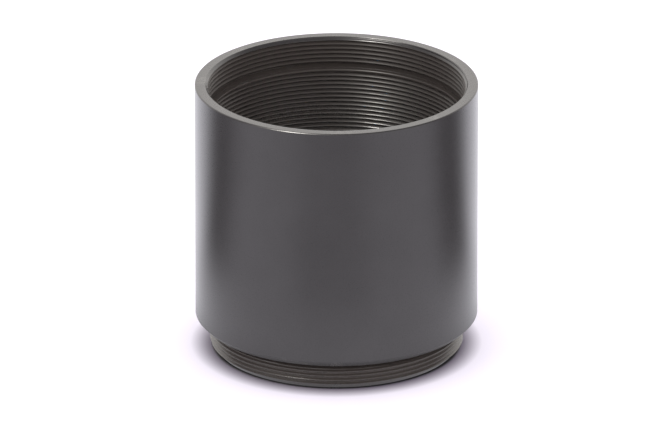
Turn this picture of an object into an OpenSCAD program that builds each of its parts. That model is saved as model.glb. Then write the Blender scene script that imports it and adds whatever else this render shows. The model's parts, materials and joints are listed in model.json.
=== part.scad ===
// Barlow lens in a tube with a 42 mm thread on its foot. The origin is the centre of the tube's lower end, and +Z runs
// along the optical axis. The lower end has the external thread and takes in the light; the upper end
// has the internal thread for the camera or eyepiece holder. Every piece is turned about Z.

/* [Tube] */
// Outside diameter of the tube
tube_d = 46.6; // [45.6:0.1:50]
// Height of the plain body, from the shoulder to the rim
body_h = 41.1; // [38:0.1:60]
// Height of the threaded foot below the shoulder
foot_h = 4.7; // [4.4:0.1:6]
// Chamfer at the body's lower edge
body_chamfer = 1.0; // [0.4:0.1:1.2]
// Edge break around the outside of the rim
rim_break = 0.15; // [0.1:0.05:0.4]
// Diameter of the light opening in the foot
entry_d = 37.6; // [36:0.1:38]

/* [Thread] */
// Nominal diameter of the foot's thread and of the bore's ridges
thread_d = 42; // [42]
// Nominal diameter of the thread in the rim
camera_thread_d = 43; // [43]
// Pitch of the connecting threads, the bore's ridges and the cell
pitch = 0.75; // [0.75]
// Depth of the camera thread below the rim
camera_thread_depth = 4.5; // [4:0.1:6]
// Length of the plain relief groove under the camera thread
relief_h = 1.0; // [0.5:0.1:1.5]

/* [Lens] */
// Diameter of the two glass elements
lens_d = 31; // [30:0.1:31.6]
// Clear aperture of the elements and of the cell
clear_d = 29.4; // [27:0.1:29.4]
// Radius of the crown's two hollow faces and of the flint's front face
strong_radius = 51.5; // [48:0.5:80]
// Radius of the flint's rear face
weak_radius = 224.8; // [150:0.1:400]
// Middle thickness of the crown element
crown_t = 2.0; // [1.5:0.1:2.2]
// Middle thickness of the flint element
flint_t = 4.2; // [3.6:0.1:4.3]

/* [Cell] */
// Outside diameter of the cell and of its lock ring
cell_d = 40.6; // [40:0.1:40.6]
// Height of the cell
cell_h = 14.5; // [14.4:0.1:16]
// Height of the lock ring
lock_h = 3.0; // [2.5:0.1:4]

/* [Hidden] */

$fn = 180;
arc_steps = 12;

// Thread form: 60 degree flanks drawn as rings, one per pitch
thread_r = thread_d / 2;
bore_r = thread_r - 0.5413 * pitch;
bore_crest_w = 0.36 * pitch;
camera_root_r = camera_thread_d / 2;
camera_crest_r = camera_root_r - 0.5413 * pitch;
foot_r = thread_r - 0.05;
foot_root_r = foot_r - 0.55 * pitch;
foot_crest_w = 0.36 * pitch;
foot_groove_r = foot_root_r - 0.5;
foot_groove_h = 0.9;

// Tube, from the foot up
tube_r = tube_d / 2;
entry_r = entry_d / 2;
entry_chamfer = 0.4;
foot_chamfer = 1;
foot_turns = 4;
tube_h = foot_h + body_h;
ledge_z = 6;
ledge_groove_r = thread_r + 0.05;
relief_r = camera_root_r + 0.1;
rim_r = camera_root_r + 0.1;
rim_bevel = rim_r - camera_crest_r;
camera_turns = floor((camera_thread_depth - rim_bevel) / pitch) + 1;
camera_thread_z = tube_h - rim_bevel - (camera_turns - 1) * pitch - bore_crest_w;
relief_z = tube_h - camera_thread_depth - relief_h;
ridge_top_z = relief_z - 0.15;
ledge_groove_h = 0.8;
ridge_turns = floor((ridge_top_z - bore_crest_w - ledge_z - ledge_groove_h - 0.4) / pitch) + 1;
ridge_z = ridge_top_z - bore_crest_w - (ridge_turns - 1) * pitch;

// Glass, stacked on the cell's seat
lens_r = lens_d / 2;
clear_r = clear_d / 2;
glass_bevel = 0.2;
air_gap = 0.15;
seat_z = ledge_z + 2;
strong_sag = sag(strong_radius, clear_r);
weak_sag = sag(weak_radius, clear_r);
crown_land_z = seat_z + 2 * strong_sag + crown_t;
flint_seat_z = crown_land_z + air_gap;
flint_land_z = flint_seat_z - strong_sag + flint_t + weak_sag;

// Cell and rings
cell_r = cell_d / 2;
cell_top_z = ledge_z + cell_h;
cell_root_r = cell_r - 0.4;
pocket_r = lens_r + 0.03;
mouth_r = clear_r + 0.2;
mouth_flare = 1.6;
cell_thread_r = pocket_r + 0.9;
seal_section_r = 0.4;
seal_r = entry_r + 0.6;
seal_gap = 0.05;
spanner_hole_r = 0.8;
spanner_circle_r = 17.6;
spanner_hole_depth = 1.5;
cushion_section_r = 0.39;
cushion_r = lens_r - cushion_section_r - 0.01;
retaining_z = flint_land_z + 2 * cushion_section_r + 0.02;
retaining_h = 2.2;
retaining_r = cell_thread_r - 0.3;
slip_h = 0.5;
ring_bore_r = cell_thread_r + 0.8;
lock_z = cell_top_z + slip_h;
slot_w = 2;
slot_depth = 1;

// Height of a sphere's cap of radius r
function sag(sphere_r, r) = sphere_r - sqrt(sphere_r * sphere_r - r * r);

// Points of a spherical face from the axis out to radius r, with its middle at height z; up = 1 where
// the face rises outwards and -1 where it falls
function face_points(z, sphere_r, r, up) =
    [for (i = [0 : arc_steps]) [r * i / arc_steps, z + up * sag(sphere_r, r * i / arc_steps)]];

function reversed(points) = [for (i = [len(points) - 1 : -1 : 0]) points[i]];

// Rising profile of a run of thread rings: flat crests at crest_r, cut to root_r between them
function thread_points(z, turns, crest_r, root_r, crest_w) =
    let (flank = abs(root_r - crest_r) * tan(30))
    [for (i = [0 : turns - 1]) each concat(
        [[crest_r, z + i * pitch], [crest_r, z + i * pitch + crest_w]],
        i == turns - 1 ? [] :
            [[root_r, z + i * pitch + crest_w + flank], [root_r, z + (i + 1) * pitch - flank]])];

module turned(points) {
    rotate_extrude()
        polygon(points);
}

// A plain ring with small chamfers on its outer edges
module plain_ring(inner_r, outer_r, z, h, bevel) {
    turned([[inner_r, z], [outer_r - bevel, z], [outer_r, z + bevel],
            [outer_r, z + h - bevel], [outer_r - bevel, z + h], [inner_r, z + h]]);
}

// Two spanner slots across a ring's top face
module spanner_slots(outer_r, top_z) {
    translate([-outer_r - 1, -slot_w / 2, top_z - slot_depth])
        cube([2 * outer_r + 2, slot_w, slot_depth + 1]);
}

// The tube: threaded foot, plain body, camera thread in the rim and a ridged bore down to the ledge
module outer_tube() {
    color("#3a3a3d")
        turned(concat(
            [[entry_r + entry_chamfer, 0], [foot_r - foot_chamfer, 0]],
            thread_points(foot_chamfer, foot_turns, foot_r, foot_root_r, foot_crest_w),
            [[foot_groove_r, foot_h - foot_groove_h], [foot_groove_r, foot_h],
             [tube_r - body_chamfer, foot_h], [tube_r, foot_h + body_chamfer],
             [tube_r, tube_h - rim_break], [tube_r - rim_break, tube_h],
             [rim_r, tube_h]],
            reversed(thread_points(camera_thread_z, camera_turns, camera_crest_r, camera_root_r,
                                   bore_crest_w)),
            [[relief_r, camera_thread_z - (relief_r - camera_crest_r) * tan(30)],
             [relief_r, relief_z]],
            reversed(thread_points(ridge_z, ridge_turns, bore_r, thread_r, bore_crest_w)),
            [[ledge_groove_r, ledge_z + ledge_groove_h], [ledge_groove_r, ledge_z],
             [entry_r, ledge_z], [entry_r, entry_chamfer]]));
}

// Rubber ring in the cell's front face, which seals it against the tube's ledge
module dust_seal() {
    color("#1c1c1c")
        rotate_extrude()
            translate([seal_r, ledge_z + seal_section_r + 0.03])
                circle(r = seal_section_r, $fn = 32);
}

// The threaded cup that holds the glass
module lens_cell() {
    cell_turns = floor((cell_h - 2.4) / pitch);
    color("#2b2b2d")
        difference() {
            turned(concat(
                [[mouth_r + mouth_flare, ledge_z],
                 [seal_r - seal_section_r - seal_gap, ledge_z],
                 [seal_r - seal_section_r - seal_gap, ledge_z + 2 * seal_section_r + 0.1],
                 [seal_r + seal_section_r + seal_gap, ledge_z + 2 * seal_section_r + 0.1],
                 [seal_r + seal_section_r + seal_gap, ledge_z],
                 [cell_r - 0.2, ledge_z], [cell_r, ledge_z + 0.2]],
                thread_points(ledge_z + 1.2, cell_turns, cell_r, cell_root_r, bore_crest_w),
                [[cell_r, cell_top_z - 0.3], [cell_r - 0.3, cell_top_z],
                 [cell_thread_r, cell_top_z], [cell_thread_r, retaining_z - 0.3],
                 [pocket_r, retaining_z - 0.3], [pocket_r, seat_z],
                 [mouth_r, seat_z], [mouth_r, ledge_z + mouth_flare]]));
            for (side = [-1, 1])
                translate([side * spanner_circle_r, 0, ledge_z - 1])
                    cylinder(h = spanner_hole_depth + 1, r = spanner_hole_r, $fn = 32);
        }
}

// Crown glass, hollow on both faces, nearest to the light
module crown_element() {
    color("#cfe4e0", 0.35)
        turned(concat(
            face_points(seat_z + strong_sag, strong_radius, clear_r, -1),
            [[lens_r - glass_bevel, seat_z], [lens_r, seat_z + glass_bevel],
             [lens_r, crown_land_z - glass_bevel], [lens_r - glass_bevel, crown_land_z]],
            reversed(face_points(crown_land_z - strong_sag, strong_radius, clear_r, 1))));
}

// Thin ring that holds the two elements apart at their edges
module spacer_ring() {
    color("#b9b9b4")
        turned([[clear_r, crown_land_z], [lens_r - glass_bevel, crown_land_z],
                [lens_r - glass_bevel, flint_seat_z], [clear_r, flint_seat_z]]);
}

// Flint glass, bulging into the crown's hollow and slightly hollow at the rear
module flint_element() {
    color("#d8dccb", 0.35)
        turned(concat(
            face_points(flint_seat_z - strong_sag, strong_radius, clear_r, 1),
            [[lens_r - glass_bevel, flint_seat_z], [lens_r, flint_seat_z + glass_bevel],
             [lens_r, flint_land_z - glass_bevel], [lens_r - glass_bevel, flint_land_z]],
            reversed(face_points(flint_land_z - weak_sag, weak_radius, clear_r, 1))));
}

// Rubber ring that spreads the retaining ring's load on the glass
module cushion_ring() {
    color("#1c1c1c")
        rotate_extrude()
            translate([cushion_r, flint_land_z + cushion_section_r + 0.01])
                circle(r = cushion_section_r, $fn = 32);
}

// Threaded ring that clamps the glass in the cell
module retaining_ring() {
    retaining_turns = floor((retaining_h - 0.4) / pitch);
    color("#333335")
        difference() {
            turned(concat(
                [[mouth_r, retaining_z], [retaining_r - 0.2, retaining_z],
                 [retaining_r, retaining_z + 0.2]],
                thread_points(retaining_z + 0.4, retaining_turns, retaining_r,
                              retaining_r - 0.25, bore_crest_w),
                [[retaining_r, retaining_z + retaining_h - 0.2],
                 [retaining_r - 0.2, retaining_z + retaining_h],
                 [mouth_r + 0.5, retaining_z + retaining_h],
                 [mouth_r, retaining_z + retaining_h - 0.8]]));
            spanner_slots(retaining_r, retaining_z + retaining_h);
        }
}

// Smooth washer between the cell and its lock ring
module slip_ring() {
    color("#a58c52")
        plain_ring(ring_bore_r, cell_r - 0.2, cell_top_z, slip_h, 0.1);
}

// Threaded ring that jams the cell where it is set in the bore
module lock_ring() {
    lock_turns = floor((lock_h - 0.8) / pitch);
    color("#2b2b2d")
        difference() {
            turned(concat(
                [[ring_bore_r, lock_z], [cell_r - 0.3, lock_z], [cell_r, lock_z + 0.3]],
                thread_points(lock_z + 0.6, lock_turns, cell_r, cell_root_r, bore_crest_w),
                [[cell_r, lock_z + lock_h - 0.3], [cell_r - 0.3, lock_z + lock_h],
                 [ring_bore_r + 0.3, lock_z + lock_h], [ring_bore_r, lock_z + lock_h - 0.3]]));
            spanner_slots(cell_r, lock_z + lock_h);
        }
}

outer_tube();
dust_seal();
lens_cell();
crown_element();
spacer_ring();
flint_element();
cushion_ring();
retaining_ring();
slip_ring();
lock_ring();
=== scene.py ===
import json
import math

import bmesh
import bpy
import numpy as np
from mathutils import Matrix, Vector


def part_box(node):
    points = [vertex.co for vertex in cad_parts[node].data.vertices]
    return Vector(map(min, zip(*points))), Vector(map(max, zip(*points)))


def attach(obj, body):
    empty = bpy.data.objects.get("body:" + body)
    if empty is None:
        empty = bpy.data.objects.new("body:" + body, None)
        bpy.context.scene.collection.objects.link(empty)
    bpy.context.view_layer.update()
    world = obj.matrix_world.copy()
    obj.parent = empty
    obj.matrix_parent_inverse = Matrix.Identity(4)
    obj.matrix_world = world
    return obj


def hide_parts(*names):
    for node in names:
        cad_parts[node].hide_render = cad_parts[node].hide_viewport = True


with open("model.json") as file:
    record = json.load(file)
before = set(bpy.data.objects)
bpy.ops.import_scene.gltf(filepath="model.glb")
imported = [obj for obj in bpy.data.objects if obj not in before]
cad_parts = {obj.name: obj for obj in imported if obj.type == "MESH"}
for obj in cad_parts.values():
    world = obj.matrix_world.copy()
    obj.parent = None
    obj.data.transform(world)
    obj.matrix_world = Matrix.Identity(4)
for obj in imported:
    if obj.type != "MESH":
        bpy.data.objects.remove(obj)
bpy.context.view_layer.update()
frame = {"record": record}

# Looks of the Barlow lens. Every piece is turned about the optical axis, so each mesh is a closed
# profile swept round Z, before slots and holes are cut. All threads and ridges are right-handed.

MM = 0.001
SEGMENTS = 240

# ---------------------------------------------------------------- sizes, in metres

MOUNTS = {mount["name"]: mount for mount in frame["record"]["mounts"]}
BODY_OF = {
    node: body
    for body, nodes in frame["record"]["behaviour"]["bodies"].items()
    for node in nodes
}

# Threads: every one has this pitch, the tube's inner ones this depth, and FLANK is their slope
PITCH = 0.75 * MM
THREAD_DEPTH = 0.406 * MM
FLANK = math.tan(math.radians(60))

# The tube
TUBE_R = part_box("outer_tube")[1].x
TUBE_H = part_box("outer_tube")[1].z
FOOT_R = MOUNTS["telescope_thread"]["dims"]["r_mm"] * MM
FOOT_H = 4.7 * MM
CAMERA_R = MOUNTS["camera_thread"]["dims"]["r_mm"] * MM
BEVEL = 0.506 * MM
RIM_R = CAMERA_R + BEVEL
RELIEF_R = RIM_R
RELIEF_Z = TUBE_H - 5.5 * MM
BORE_R = 20.594 * MM
LEDGE_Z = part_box("lens_cell")[0].z
ENTRY_R = 18.8 * MM

# The cell, its glass and its rings
CELL_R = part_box("lens_cell")[1].x
CELL_TOP_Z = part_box("lens_cell")[1].z
LENS_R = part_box("crown_element")[1].x
SEAT_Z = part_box("crown_element")[0].z
CLEAR_R = 14.7 * MM
MOUTH_R = CLEAR_R + 0.2 * MM
STRONG_RADIUS = 51.5 * MM
WEAK_RADIUS = 224.8 * MM
STRONG_SAG = STRONG_RADIUS - math.sqrt(STRONG_RADIUS**2 - CLEAR_R**2)
WEAK_SAG = WEAK_RADIUS - math.sqrt(WEAK_RADIUS**2 - CLEAR_R**2)
SEAL_R = ENTRY_R + 0.6 * MM
RING_BORE_R = 17.23 * MM


# ---------------------------------------------------------------- turned meshes

# One pitch of thread as (share of the pitch, share of the depth), from crest to crest
THREAD_FORM = [
    (0.0, 0.0), (0.09, 0.03), (0.15, 0.13), (0.36, 0.88), (0.42, 0.97),
    (0.5, 1.0), (0.58, 0.97), (0.64, 0.88), (0.85, 0.13), (0.91, 0.03),
]


def softened(points, size, steps=3):
    """An open outline with each inner corner rounded, and a guard point on both sides of each corner
    that keeps the shading of the flats flat."""
    points = [np.array(point, float) for point in points]
    out = [points[0]]
    for before, corner, after in zip(points, points[1:], points[2:]):
        arms = []
        for other in (before, after):
            reach = np.linalg.norm(other - corner)
            arms.append((other - corner) / reach * min(size, reach / 3.2))
        out.append(corner + arms[0] * 1.5)
        for k in range(steps + 1):
            t = k / steps
            out.append(corner + arms[0] * (1 - t) ** 2 + arms[1] * t**2)
        out.append(corner + arms[1] * 1.5)
    return out + [points[-1]]


def plain(points, size=0.0):
    """Rows of a turned surface that is the same all round: an array of rows x columns x (r, z)."""
    rows = softened(points, size) if size else points
    return np.repeat(np.array(rows, float)[:, None, :], SEGMENTS + 1, axis=1)


def helical(low_z, high_z, radius_at, phase=0.0):
    """Rows of a threaded surface, from low_z up to high_z. Each row climbs one pitch in a turn, so a
    row ends where a later one starts. radius_at gives the radius from the height and from the share of
    the thread's depth there, and phase lifts the whole thread by that share of its pitch."""
    turns = math.ceil((high_z - low_z) / PITCH) + 2
    starts = [
        (low_z + (turn - 2 + phase + share) * PITCH, depth)
        for turn in range(turns)
        for share, depth in THREAD_FORM
    ]
    climb = np.arange(SEGMENTS + 1) / SEGMENTS * PITCH
    rows = []
    for start, depth in starts:
        z = np.clip(start + climb, low_z, high_z)
        rows.append(np.stack([radius_at(z, depth), z], axis=1))
    first = np.zeros((1, SEGMENTS + 1, 2))
    last = first.copy()
    first[..., 0], first[..., 1] = radius_at(np.array(low_z), 0.0), low_z
    last[..., 0], last[..., 1] = radius_at(np.array(high_z), 0.0), high_z
    return np.concatenate([first, np.array(rows), last])


def outer_thread(crest_r, depth, low_z, high_z):
    """Rows of an external thread that fades out at both ends."""
    def radius(z, share):
        ends = np.minimum((z - low_z) * FLANK, (high_z - z) * FLANK)
        return crest_r - np.minimum(share * depth, ends)

    return helical(low_z, high_z, radius)


def shaded(bm, mesh):
    """Writes bm into the mesh with smooth shading, except across sharp edges."""
    for face in bm.faces:
        face.smooth = True
    for edge in bm.edges:
        edge.smooth = edge.calc_face_angle(0.0) < math.radians(40)
    bm.to_mesh(mesh)
    bm.free()


def mesh_object(name, verts, faces):
    """A mesh from points and faces, with points that meet welded into one."""
    bm = bmesh.new()
    made = [bm.verts.new(co) for co in verts]
    for face in faces:
        bm.faces.new([made[i] for i in face])
    bmesh.ops.remove_doubles(bm, verts=bm.verts, dist=1e-7)
    bmesh.ops.dissolve_degenerate(bm, edges=bm.edges, dist=1e-8)
    bmesh.ops.recalc_face_normals(bm, faces=bm.faces)
    mesh = bpy.data.meshes.new(name)
    shaded(bm, mesh)
    obj = bpy.data.objects.new(name, mesh)
    bpy.context.scene.collection.objects.link(obj)
    return obj


def swept(name, *sections):
    """Joins sections of rows end to end into one closed profile and sweeps it round Z."""
    grid = np.concatenate(sections)
    angle = np.arange(SEGMENTS + 1) / SEGMENTS * 2 * math.pi
    x = grid[..., 0] * np.cos(angle)
    y = grid[..., 0] * np.sin(angle)
    verts = np.stack([x, y, grid[..., 1]], axis=-1).reshape(-1, 3)
    rows, columns = grid.shape[:2]
    faces = []
    for i in range(rows):
        if grid[i, 0, 0] == grid[(i + 1) % rows, 0, 0] == 0:
            continue
        here, there = i * columns, (i + 1) % rows * columns
        for j in range(columns - 1):
            faces.append((here + j, here + j + 1, there + j + 1, there + j))
    return mesh_object(name, verts.tolist(), faces)


def closed(points, size):
    """One section for a closed outline with every corner rounded."""
    start = (np.array(points[0], float) + np.array(points[1], float)) / 2
    loop = [start, *points[1:], points[0], start]
    return plain(softened(loop, size)[:-1])


def cap(z, sphere_r, reach, steps=20):
    """Points of a spherical face from the axis out to radius reach; its middle is at height z, and
    sphere_r is negative where the face falls away outwards."""
    radii = [reach * k / steps for k in range(steps + 1)]
    size = abs(sphere_r)
    sign = 1 if sphere_r > 0 else -1
    return [(r, z + sign * (size - math.sqrt(size**2 - r**2))) for r in radii]


def round_section(centre_r, centre_z, radius, flash, steps=40):
    """One section for a moulded ring's round cross-section, with the mould's thin flash line inside and
    outside."""
    rows = []
    for k in range(steps):
        turn = 2 * math.pi * k / steps
        proud = flash if k % (steps // 2) == 0 else 0
        rows.append((centre_r + (radius + proud) * math.cos(turn), centre_z + radius * math.sin(turn)))
    return plain(rows)


def cut(obj, cutter):
    """Takes the cutter's solid out of obj, and the cutter out of the scene."""
    modifier = obj.modifiers.new("cut", "BOOLEAN")
    modifier.object = cutter
    modifier.solver = "EXACT"
    graph = bpy.context.evaluated_depsgraph_get()
    bm = bmesh.new()
    bm.from_mesh(bpy.data.meshes.new_from_object(obj.evaluated_get(graph)))
    obj.modifiers.clear()
    shaded(bm, obj.data)
    bpy.data.objects.remove(cutter)


def cut_slots(obj, outer_r, top_z):
    """Two spanner slots across a ring's top face, with their upper edges broken."""
    half = 1.0 * MM
    depth = 1.0 * MM
    break_w = 0.12 * MM
    outline = [
        (-half, top_z - depth), (half, top_z - depth), (half, top_z - break_w),
        (half + 2 * break_w, top_z + break_w), (-half - 2 * break_w, top_z + break_w),
        (-half, top_z - break_w),
    ]
    count = len(outline)
    verts = [(side * (outer_r + MM), y, z) for side in (-1, 1) for y, z in outline]
    faces = [tuple(range(count)), tuple(range(count, 2 * count))]
    faces += [(i, (i + 1) % count, count + (i + 1) % count, count + i) for i in range(count)]
    cut(obj, mesh_object("slot_cutter", verts, faces))


# ---------------------------------------------------------------- the tube

def outer_tube():
    """The tube: foot with its external thread, body, rim, camera thread, relief and ridged bore."""
    foot_root = 0.4125 * MM
    foot_chamfer = 1.0 * MM
    groove_r = FOOT_R - foot_root - 0.5 * MM
    groove_z = FOOT_H - 0.9 * MM
    camera_z = RELIEF_Z + 0.75 * MM
    land_z = RELIEF_Z - 0.15 * MM
    ledge_groove_r = BORE_R + 0.456 * MM
    ridge_z = LEDGE_Z + 0.8 * MM
    chamfer = 1.0 * MM
    rim_break = 0.15 * MM

    def foot_radius(z, depth):
        thread = FOOT_R - depth * foot_root
        end = FOOT_R - foot_chamfer + z
        return np.minimum(np.minimum(thread, end), groove_r + (groove_z - z) * FLANK)

    def camera_radius(z, depth):
        thread = CAMERA_R + depth * THREAD_DEPTH
        bevel = RIM_R - (TUBE_H - z)
        run_out = RELIEF_R - (z - camera_z) * FLANK
        return np.maximum(np.maximum(thread, bevel), run_out)

    def ridge_radius(z, depth):
        start = np.maximum(land_z - 0.2 * MM - z, 0) * FLANK
        thread = BORE_R + np.minimum(depth * THREAD_DEPTH, start)
        run_out = ledge_groove_r - (z - ridge_z) * FLANK
        return np.maximum(thread, run_out)

    foot = plain([
        (ENTRY_R, LEDGE_Z - 0.5 * MM), (ENTRY_R, 0.4 * MM), (ENTRY_R + 0.4 * MM, 0),
        (FOOT_R - foot_chamfer, 0),
    ], 0.05 * MM)
    outside = plain([
        (groove_r, groove_z), (groove_r, FOOT_H), (TUBE_R - chamfer, FOOT_H),
        (TUBE_R, FOOT_H + chamfer), (TUBE_R, TUBE_H - rim_break), (TUBE_R - rim_break, TUBE_H),
        (RIM_R, TUBE_H),
    ], 0.06 * MM)
    relief = plain([
        (RELIEF_R, camera_z), (RELIEF_R, RELIEF_Z), (BORE_R + 0.1 * MM, RELIEF_Z - 0.02 * MM),
        (BORE_R, land_z),
    ], 0.04 * MM)
    ledge = plain([
        (ledge_groove_r, ridge_z), (ledge_groove_r, LEDGE_Z), (ENTRY_R, LEDGE_Z),
        (ENTRY_R, LEDGE_Z - 0.5 * MM),
    ], 0.05 * MM)
    return swept(
        "outer_tube_turned",
        foot,
        helical(0.0, groove_z, foot_radius, phase=0.38),
        outside,
        helical(camera_z, TUBE_H, camera_radius, phase=0.42)[::-1],
        relief,
        helical(ridge_z, land_z, ridge_radius)[::-1],
        ledge,
    )


# ---------------------------------------------------------------- the cell and its rings

def dust_seal():
    section = 0.4 * MM
    return swept("dust_seal_moulded", round_section(SEAL_R, LEDGE_Z + 0.43 * MM, section, 0.02 * MM))


def lens_cell():
    """The cup: front face with the seal's groove and two spanner holes, outer thread, threaded pocket."""
    depth = 0.4 * MM
    hole_x = 17.6 * MM
    groove_half = 0.45 * MM
    groove_z = LEDGE_Z + 0.9 * MM
    start_z = LEDGE_Z + 1.2 * MM
    end_z = CELL_TOP_Z - 0.5 * MM
    pocket_r = LENS_R + 0.03 * MM
    inner_root_r = pocket_r + 0.9 * MM
    inner_depth = 0.22 * MM
    inner_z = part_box("retaining_ring")[0].z - 0.3 * MM

    def inner_radius(z, share):
        mouth = inner_root_r - (CELL_TOP_Z - z)
        run_out = inner_root_r - (z - inner_z) * FLANK
        thread = inner_root_r - (1 - share) * inner_depth
        return np.maximum(np.maximum(thread, mouth), run_out)

    front = plain([
        (MOUTH_R, SEAT_Z - 0.2 * MM), (MOUTH_R, LEDGE_Z + 1.6 * MM), (MOUTH_R + 1.6 * MM, LEDGE_Z),
        (SEAL_R - groove_half, LEDGE_Z), (SEAL_R - groove_half, groove_z),
        (SEAL_R + groove_half, groove_z), (SEAL_R + groove_half, LEDGE_Z),
        (CELL_R - 0.2 * MM, LEDGE_Z), (CELL_R, LEDGE_Z + 0.2 * MM), (CELL_R, start_z),
    ], 0.04 * MM)
    top = plain([
        (CELL_R, end_z), (CELL_R, CELL_TOP_Z - 0.3 * MM), (CELL_R - 0.3 * MM, CELL_TOP_Z),
        (inner_root_r, CELL_TOP_Z),
    ], 0.04 * MM)
    pocket = plain([
        (inner_root_r, inner_z), (pocket_r, inner_z), (pocket_r, SEAT_Z), (MOUTH_R, SEAT_Z),
        (MOUTH_R, SEAT_Z - 0.2 * MM),
    ], 0.04 * MM)
    cell = swept(
        "lens_cell_turned",
        front,
        outer_thread(CELL_R, depth, start_z, end_z),
        top,
        helical(inner_z, CELL_TOP_Z, inner_radius)[::-1],
        pocket,
    )
    for side in (-1, 1):
        cut(cell, drill(side * hole_x, LEDGE_Z, radius=0.8 * MM, depth=1.5 * MM))
    return cell


def drill(x, face_z, radius, depth):
    """A drilled hole's shape, upwards from a face, with a countersunk mouth and the drill's point."""
    below = 1.0 * MM
    sink = 0.12 * MM
    point = radius * math.tan(math.radians(31))
    rows = [
        (0, face_z - below), (radius + below + sink, face_z - below), (radius, face_z + sink),
        (radius, face_z + depth), (0, face_z + depth + point),
    ]
    tool = swept("drill", plain(rows))
    tool.data.transform(Matrix.Translation((x, 0, 0)))
    return tool


def element(name, low_face, high_face, low_z, high_z):
    """A lens element: two spherical faces, a ground edge and a small bevel at each rim."""
    bevel = 0.2 * MM
    edge = [
        (LENS_R - bevel, low_z), (LENS_R, low_z + bevel), (LENS_R, high_z - bevel),
        (LENS_R - bevel, high_z),
    ]
    glass = swept(name, plain(low_face), plain(edge), plain(high_face[::-1]))
    for face in glass.data.polygons:
        face.material_index = int(face.center.xy.length > CLEAR_R)
    return glass


def crown_element():
    low_z, high_z = (corner.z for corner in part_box("crown_element"))
    return element(
        "crown_element_polished",
        cap(low_z + STRONG_SAG, -STRONG_RADIUS, CLEAR_R),
        cap(high_z - STRONG_SAG, STRONG_RADIUS, CLEAR_R),
        low_z,
        high_z,
    )


def flint_element():
    high_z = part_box("flint_element")[1].z
    low_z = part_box("spacer_ring")[1].z
    return element(
        "flint_element_polished",
        cap(low_z - STRONG_SAG, STRONG_RADIUS, CLEAR_R),
        cap(high_z - WEAK_SAG, WEAK_RADIUS, CLEAR_R),
        low_z,
        high_z,
    )


def spacer_ring():
    low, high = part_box("spacer_ring")
    return swept("spacer_ring_punched", closed([
        (CLEAR_R, low.z), (high.x, low.z), (high.x, high.z), (CLEAR_R, high.z),
    ], 0.02 * MM))


def cushion_ring():
    low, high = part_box("cushion_ring")
    section = (high.z - low.z) / 2
    return swept("cushion_ring_moulded", round_section(high.x - section, low.z + section, section, 0.0))


def retaining_ring():
    """A thin threaded ring, bevelled round its opening, with two spanner slots."""
    low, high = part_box("retaining_ring")
    start_z = low.z + 0.25 * MM
    end_z = high.z - 0.25 * MM
    ring = swept(
        "retaining_ring_turned",
        plain([
            (MOUTH_R, high.z - MM), (MOUTH_R, low.z), (high.x - 0.2 * MM, low.z),
            (high.x, low.z + 0.2 * MM), (high.x, start_z),
        ], 0.03 * MM),
        outer_thread(high.x, 0.25 * MM, start_z, end_z),
        plain([
            (high.x, end_z), (high.x, high.z - 0.2 * MM), (high.x - 0.2 * MM, high.z),
            (MOUTH_R + 0.5 * MM, high.z), (MOUTH_R, high.z - 0.8 * MM), (MOUTH_R, high.z - MM),
        ], 0.03 * MM),
    )
    cut_slots(ring, high.x, high.z)
    return ring


def slip_ring():
    low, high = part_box("slip_ring")
    bevel = 0.1 * MM
    return swept("slip_ring_turned", closed([
        (RING_BORE_R, low.z), (high.x - bevel, low.z), (high.x, low.z + bevel),
        (high.x, high.z - bevel), (high.x - bevel, high.z), (RING_BORE_R, high.z),
    ], 0.03 * MM))


def lock_ring():
    """A threaded ring with broken edges and two spanner slots."""
    low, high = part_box("lock_ring")
    bevel = 0.3 * MM
    start_z = low.z + 0.4 * MM
    end_z = high.z - 0.4 * MM
    ring = swept(
        "lock_ring_turned",
        plain([
            (RING_BORE_R, low.z + bevel), (RING_BORE_R, low.z), (high.x - bevel, low.z),
            (high.x, low.z + bevel), (high.x, start_z),
        ], 0.04 * MM),
        outer_thread(high.x, 0.4 * MM, start_z, end_z),
        plain([
            (high.x, end_z), (high.x, high.z - bevel), (high.x - bevel, high.z),
            (RING_BORE_R + bevel, high.z), (RING_BORE_R, high.z - bevel),
            (RING_BORE_R, low.z + bevel),
        ], 0.04 * MM),
    )
    cut_slots(ring, high.x, high.z)
    return ring


# ---------------------------------------------------------------- materials

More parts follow.
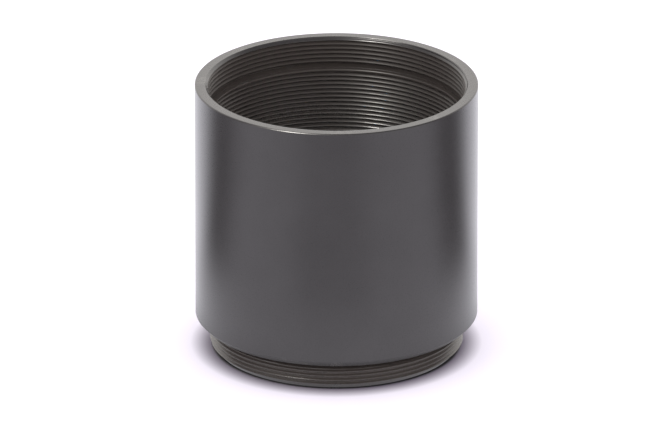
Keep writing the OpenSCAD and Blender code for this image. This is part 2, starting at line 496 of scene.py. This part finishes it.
class Graph:
    """The node tree of a material or of the world, with one call for each node that a surface needs."""

    def __init__(self, owner, coordinates="Object"):
        owner.use_nodes = True
        self.owner = owner
        self.tree = owner.node_tree
        self.shader = self.tree.nodes.get("Principled BSDF")
        self.place = self.node("ShaderNodeTexCoord").outputs[coordinates]

    def node(self, kind, **settings):
        made = self.tree.nodes.new(kind)
        for key, value in settings.items():
            setattr(made, key, value)
        return made

    def feed(self, socket, value):
        if isinstance(value, bpy.types.NodeSocket):
            self.tree.links.new(value, socket)
        else:
            socket.default_value = value

    def maths(self, operation, *values, clamp=False):
        made = self.node("ShaderNodeMath", operation=operation, use_clamp=clamp)
        for socket, value in zip(made.inputs, values):
            self.feed(socket, value)
        return made.outputs[0]

    def noise(self, per_mm, detail=2.0, roughness=0.5, stretch=(1, 1, 1)):
        """Noise with per_mm features to the millimetre, stretched along the axes where stretch < 1."""
        scaled = self.node("ShaderNodeVectorMath", operation="MULTIPLY")
        self.feed(scaled.inputs[0], self.place)
        scaled.inputs[1].default_value = stretch
        made = self.node("ShaderNodeTexNoise")
        self.feed(made.inputs["Vector"], scaled.outputs[0])
        made.inputs["Scale"].default_value = per_mm / MM
        made.inputs["Detail"].default_value = detail
        made.inputs["Roughness"].default_value = roughness
        return made.outputs["Fac"]

    def ranged(self, value, low, high, to_low=0.0, to_high=1.0, way="LINEAR"):
        made = self.node("ShaderNodeMapRange", interpolation_type=way)
        made.inputs["From Min"].default_value = low
        made.inputs["From Max"].default_value = high
        made.inputs["To Min"].default_value = to_low
        made.inputs["To Max"].default_value = to_high
        self.feed(made.inputs["Value"], value)
        return made.outputs["Result"]

    def mixed(self, share, one, other):
        made = self.node("ShaderNodeMix", data_type="RGBA")
        self.feed(made.inputs["Factor"], share)
        self.feed(made.inputs["A"], one)
        self.feed(made.inputs["B"], other)
        return made.outputs["Result"]

    def bump(self, height, depth, strength=1.0, under=None):
        made = self.node("ShaderNodeBump")
        made.inputs["Strength"].default_value = strength
        made.inputs["Distance"].default_value = depth
        self.feed(made.inputs["Height"], height)
        if under is not None:
            self.feed(made.inputs["Normal"], under)
        return made.outputs["Normal"]

    def edges(self, low, high):
        """1 on outside edges and thread crests, 0 on flats."""
        return self.ranged(self.node("ShaderNodeNewGeometry").outputs["Pointiness"], low, high)

    def outward(self):
        """The way from the Z axis to the place, level: its length is the radius there."""
        made = self.node("ShaderNodeVectorMath", operation="MULTIPLY")
        self.feed(made.inputs[0], self.place)
        made.inputs[1].default_value = (1, 1, 0)
        return made.outputs[0]

    def radius(self):
        made = self.node("ShaderNodeVectorMath", operation="LENGTH")
        self.feed(made.inputs[0], self.outward())
        return made.outputs["Value"]

    def height(self):
        made = self.node("ShaderNodeSeparateXYZ")
        self.feed(made.inputs[0], self.place)
        return made.outputs["Z"]


def surface(name):
    return Graph(bpy.data.materials.new(name))


def tube_masks(g):
    """Three masks for the tube: its bore from the ledge up to the bevel, its foot, and a fade that
    grows from 0 to 1 down the bore."""
    margin = 0.02 * MM
    height = g.height()
    inside = g.maths("LESS_THAN", g.radius(), RELIEF_R + margin)
    above = g.maths("GREATER_THAN", height, LEDGE_Z)
    below = g.maths("LESS_THAN", height, TUBE_H - BEVEL - margin)
    bore = g.maths("MULTIPLY", inside, g.maths("MULTIPLY", above, below))
    foot = g.maths("LESS_THAN", height, FOOT_H - margin)
    return bore, foot, g.ranged(height, TUBE_H - 4 * MM, TUBE_H - 20 * MM)


def anodised(name, dark, light, worn, roughness, painted_bounce_colour=None):
    """Black anodised aluminium: mottled dyeing, fine satin grain, turning lines and paler edges. If a
    bore colour is given, the bore and the foot take it: a lighter, warmer colour, which is painted
    bounce light in the bore. The bore is then rougher by the rim and smoother further down, and its
    specular level is lower by the rim and higher further down, a painted sheen for light that grows
    with depth."""
    g = surface(name)
    mottle = g.ranged(g.noise(0.12, 4.0, 0.6), 0.3, 0.7)
    grain = g.noise(7.0, 3.0, 0.7)
    lines = g.noise(5.0, 2.0, 0.6, stretch=(0.01, 0.01, 1))
    wear = g.maths("MULTIPLY", g.edges(0.51, 0.58), g.ranged(g.noise(1.2, 3.0), 0.35, 0.75), clamp=True)
    dye_and_bounce = g.mixed(mottle, dark, light)
    smooth = roughness - 0.07
    if painted_bounce_colour:
        bore, foot, depth = tube_masks(g)
        # Painted bounce light: the bore and the foot take a lighter, warmer colour in place of the black
        dye_and_bounce = g.mixed(g.maths("MAXIMUM", bore, foot), dye_and_bounce, painted_bounce_colour)
        smooth = g.maths("MULTIPLY_ADD", bore, g.maths("MULTIPLY_ADD", depth, -0.19, 0.09), smooth)
        # Painted sheen: the bore's specular level is raised further down, standing in for light that
        # grows with depth
        painted_sheen = g.maths("MULTIPLY", bore, g.maths("SUBTRACT", depth, 0.30))
        g.feed(g.shader.inputs["Specular IOR Level"], g.maths("ADD", painted_sheen, 0.5))
    g.feed(g.shader.inputs["Base Color"], g.mixed(wear, dye_and_bounce, worn))
    rough = g.maths("MULTIPLY_ADD", grain, 0.14, smooth)
    g.feed(g.shader.inputs["Roughness"], g.maths("MULTIPLY_ADD", wear, -0.06, rough))
    coarse = g.bump(lines, 0.003 * MM)
    g.feed(g.shader.inputs["Normal"], g.bump(grain, 0.002 * MM, under=coarse))
    g.shader.inputs["IOR"].default_value = 1.5
    return g.owner


def moulded_rubber():
    """Black nitrile rubber: soft sheen, a dusting of pale bloom and fine moulded grain."""
    g = surface("rubber_black")
    bloom = g.ranged(g.noise(0.8, 4.0, 0.6), 0.45, 0.8)
    colour = g.mixed(bloom, (0.012, 0.012, 0.012, 1), (0.030, 0.029, 0.028, 1))
    g.feed(g.shader.inputs["Base Color"], colour)
    grain = g.noise(9.0, 2.0)
    g.feed(g.shader.inputs["Roughness"], g.maths("MULTIPLY_ADD", grain, 0.2, 0.5))
    g.feed(g.shader.inputs["Normal"], g.bump(grain, 0.006 * MM))
    return g.owner


def turned_metal(name, colour, stain, roughness, line):
    """Bare metal off the lathe: tool rings that are line apart, a stained patina and uneven polish."""
    g = surface(name)
    cloud = g.ranged(g.noise(0.25, 4.0, 0.6), 0.42, 0.72)
    g.feed(g.shader.inputs["Base Color"], g.mixed(cloud, colour, stain))
    g.shader.inputs["Metallic"].default_value = 1.0
    polish = g.noise(9.0, 2.0, 0.6)
    g.feed(g.shader.inputs["Roughness"], g.maths("MULTIPLY_ADD", polish, 0.2, roughness))
    rings = g.bump(g.maths("SINE", g.maths("MULTIPLY", g.radius(), 2 * math.pi / line)), 0.003 * MM)
    g.feed(g.shader.inputs["Normal"], g.bump(polish, 0.002 * MM, under=rings))
    return g.owner


def coated_glass(name, tint, index, film):
    """Polished glass under a thin anti-reflection film, with a few faint cleaning marks."""
    g = surface(name)
    g.shader.inputs["Base Color"].default_value = tint
    g.shader.inputs["Transmission Weight"].default_value = 1.0
    g.shader.inputs["IOR"].default_value = index
    g.shader.inputs["Thin Film Thickness"].default_value = film
    g.shader.inputs["Thin Film IOR"].default_value = 1.38
    smear = g.ranged(g.noise(0.35, 5.0, 0.7, stretch=(1, 0.3, 1)), 0.55, 0.8)
    g.feed(g.shader.inputs["Roughness"], g.maths("MULTIPLY", smear, 0.03))
    return g.owner


def blackened_edge():
    """The ground edge of a lens, painted black against stray light."""
    g = surface("lens_edge_black")
    brushed = g.noise(1.5, 3.0, 0.6, stretch=(1, 1, 0.2))
    colour = g.mixed(brushed, (0.008, 0.008, 0.009, 1), (0.022, 0.022, 0.023, 1))
    g.feed(g.shader.inputs["Base Color"], colour)
    grain = g.noise(12.0, 2.0)
    g.feed(g.shader.inputs["Roughness"], g.maths("MULTIPLY_ADD", grain, 0.25, 0.55))
    g.feed(g.shader.inputs["Normal"], g.bump(grain, 0.004 * MM))
    return g.owner


# ---------------------------------------------------------------- putting the pieces on their bodies

def place(obj, node, slot, *materials):
    """Dresses a piece and sets it on its node's body in the node's stead. slot is not used."""
    for material in materials:
        obj.data.materials.append(material)
    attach(obj, BODY_OF[node])
    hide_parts(node)


TUBE_FINISH = anodised(
    "tube_anodised",
    dark=(0.0195, 0.0175, 0.0180, 1),
    light=(0.0235, 0.0215, 0.0220, 1),
    worn=(0.060, 0.056, 0.052, 1),
    roughness=0.29,
    # lighter, warmer colour: painted bounce light in the bore, also given to the foot
    painted_bounce_colour=(0.0460, 0.0385, 0.0335, 1),
)
CELL_FINISH = anodised(
    "cell_anodised",
    dark=(0.014, 0.014, 0.015, 1),
    light=(0.020, 0.020, 0.021, 1),
    worn=(0.090, 0.088, 0.086, 1),
    roughness=0.42,
)
RUBBER = moulded_rubber()
BRASS = turned_metal("slip_brass", (0.62, 0.43, 0.17, 1), (0.36, 0.23, 0.09, 1), 0.18, 0.12 * MM)
FOIL = turned_metal("spacer_aluminium", (0.80, 0.80, 0.79, 1), (0.62, 0.62, 0.61, 1), 0.2, 0.3 * MM)
CROWN = coated_glass("crown_glass", (0.97, 1.0, 0.985, 1), 1.517, 110)
FLINT = coated_glass("flint_glass", (0.99, 1.0, 0.96, 1), 1.62, 125)
LENS_EDGE = blackened_edge()

place(outer_tube(), "outer_tube", "tube_anodised", TUBE_FINISH)
place(dust_seal(), "dust_seal", "seal_rubber", RUBBER)
place(lens_cell(), "lens_cell", "cell_anodised", CELL_FINISH)
place(crown_element(), "crown_element", "crown_glass", CROWN, LENS_EDGE)
place(spacer_ring(), "spacer_ring", "spacer_aluminium", FOIL)
place(flint_element(), "flint_element", "flint_glass", FLINT, LENS_EDGE)
place(cushion_ring(), "cushion_ring", "seal_rubber", RUBBER)
place(retaining_ring(), "retaining_ring", "cell_anodised", CELL_FINISH)
place(slip_ring(), "slip_ring", "slip_brass", BRASS)
place(lock_ring(), "lock_ring", "cell_anodised", CELL_FINISH)


# ---------------------------------------------------------------- floor, light and camera

# Soft panels round the studio, which only gloss sees: bearing from -Y towards +X, the half widths
# where the panel starts to fade and ends, all in degrees, and its strength
PANELS = [
    (0, 65, 95, 0.82),
    (-58, 12, 42, 0.50),
    (52, 12, 40, 0.45),
    (180, 52, 78, 1.75),
]
# Strengths that gloss sees between the panels, overhead and in the floor close to the tube
ROOM = 0.18
CEILING = 0.28
NEAR_FLOOR = 1.68
# Strengths of the even light on diffuse surfaces and of the background in the camera's view
FILL = 1.7
BACKDROP = 1.05

STUDIO_TINT = (1.0, 0.97, 0.93, 1)
FILL_TINT = (0.98, 0.955, 1.0, 1)
FLOOR_GLOSS_TINT = (0.965, 0.955, 1.02, 1)
WHITE = (1, 1, 1, 1)
TABLE = (0.89, 0.86, 0.92, 1)
SHADED_TABLE = (0.26, 0.232, 0.285, 1)
# painted shade: a near-black table colour in a thin ring under the foot's edge
PAINTED_SHADE_UNDER_FOOT = (0.02, 0.018, 0.022, 1)


def mirrored(g):
    """How bright the studio is in the direction of g.place, as a glossy surface mirrors it."""
    bearing = g.node("ShaderNodeVectorMath", operation="NORMALIZE")
    g.feed(bearing.inputs[0], g.outward())
    total = ROOM
    for azimuth, full, end, strength in PANELS:
        turn = math.radians(azimuth)
        along = g.node("ShaderNodeVectorMath", operation="DOT_PRODUCT")
        g.feed(along.inputs[0], bearing.outputs[0])
        along.inputs[1].default_value = (math.sin(turn), -math.cos(turn), 0)
        share = g.ranged(
            along.outputs["Value"], math.cos(math.radians(end)), math.cos(math.radians(full)),
            0.0, strength, "SMOOTHSTEP",
        )
        total = g.maths("ADD", total, share)
    return total


def glow(g, strength, colour):
    made = g.node("ShaderNodeEmission")
    g.feed(made.inputs["Strength"], strength)
    made.inputs["Color"].default_value = colour
    return made.outputs[0]


def chosen(g, share, one, other):
    made = g.node("ShaderNodeMixShader")
    g.feed(made.inputs[0], share)
    g.feed(made.inputs[1], one)
    g.feed(made.inputs[2], other)
    return made.outputs[0]


def floor():
    """A wide pale table, darker where the foot shades it. Gloss sees it lit by the panels far off, and
    bright close to the tube but for the shade round the foot."""
    half = 4.0
    obj = mesh_object(
        "floor", [(-half, -half, 0), (half, -half, 0), (half, half, 0), (-half, half, 0)], [(0, 1, 2, 3)]
    )
    g = surface("floor_white")
    g.shader.inputs["Roughness"].default_value = 0.8
    away = g.radius()
    # Painted shadow: the table's colour darkens towards the foot, and goes near black just under its edge
    table = g.mixed(g.ranged(away, FOOT_R, FOOT_R + 3.2 * MM), SHADED_TABLE, TABLE)
    painted_shade_mask = g.ranged(away, FOOT_R - 0.6 * MM, FOOT_R - 0.1 * MM)
    g.feed(g.shader.inputs["Base Color"], g.mixed(painted_shade_mask, PAINTED_SHADE_UNDER_FOOT, table))
    far = g.ranged(away, 48 * MM, 70 * MM, 0.0, 1.0, "SMOOTHSTEP")
    near = g.ranged(away, FOOT_R, FOOT_R + 16 * MM, 0.30 * NEAR_FLOOR, NEAR_FLOOR)
    near_share = g.maths("MULTIPLY", g.maths("SUBTRACT", 1.0, far), near)
    lit = g.maths("MULTIPLY_ADD", far, mirrored(g), near_share)
    gloss = g.node("ShaderNodeLightPath").outputs["Is Glossy Ray"]
    both = chosen(g, gloss, g.shader.outputs[0], glow(g, lit, FLOOR_GLOSS_TINT))
    g.feed(g.tree.nodes["Material Output"].inputs["Surface"], both)
    g.owner.cycles.emission_sampling = "NONE"
    obj.data.materials.append(g.owner)


def gloss_light(name, direction, distance, size, power, colour):
    """A square soft light that stands in the given direction from the object and faces it. Diffuse
    surfaces don't see it, so it casts no shadow on the table."""
    aim = Vector((0, 0, TUBE_H / 2))
    away = Vector(direction).normalized()
    data = bpy.data.lights.new(name, "AREA")
    data.size = size
    data.energy = power
    data.color = colour
    obj = bpy.data.objects.new(name, data)
    obj.location = aim + away * distance
    obj.rotation_mode = "QUATERNION"
    obj.rotation_quaternion = away.to_track_quat("Z", "Y")
    obj.visible_diffuse = False
    bpy.context.scene.collection.objects.link(obj)


def surroundings():
    """A plain pale studio: even soft light on diffuse surfaces, and panels and ceiling for gloss."""
    world = bpy.data.worlds.new("studio")
    g = Graph(world, "Generated")
    path = g.node("ShaderNodeLightPath")
    up = g.ranged(g.height(), 0.45, 0.9, 0.0, 1.0, "SMOOTHSTEP")
    walls = g.maths("MULTIPLY", g.maths("SUBTRACT", 1.0, up), mirrored(g))
    gloss = glow(g, g.maths("MULTIPLY_ADD", up, CEILING, walls), STUDIO_TINT)
    fill = glow(g, FILL, FILL_TINT)
    seen = glow(g, BACKDROP, WHITE)
    light = chosen(g, path.outputs["Is Glossy Ray"], fill, gloss)
    g.feed(
        g.tree.nodes["World Output"].inputs["Surface"],
        chosen(g, path.outputs["Is Camera Ray"], light, seen),
    )
    world.cycles.sampling_method = "NONE"
    bpy.context.scene.world = world


def camera():
    """Looks down on the tube from far away, a little left of its axis."""
    distance = 2.0
    pitch = math.radians(21.7)
    aim = Vector((-1.064 * MM, 0, 21.6 * MM))
    data = bpy.data.cameras.new("camera")
    data.lens = 661.7
    data.clip_start = 0.1
    data.clip_end = 20
    obj = bpy.data.objects.new("camera", data)
    back = Vector((0, -math.cos(pitch), math.sin(pitch)))
    obj.location = aim + back * distance
    obj.rotation_mode = "QUATERNION"
    obj.rotation_quaternion = back.to_track_quat("Z", "Y")
    bpy.context.scene.collection.objects.link(obj)
    bpy.context.scene.camera = obj


floor()
surroundings()
gloss_light("key", (-0.43, -0.38, 0.82), distance=0.9, size=0.17, power=14, colour=(1.0, 0.96, 0.90))
camera()
bpy.context.scene.view_settings.view_transform = "Standard"
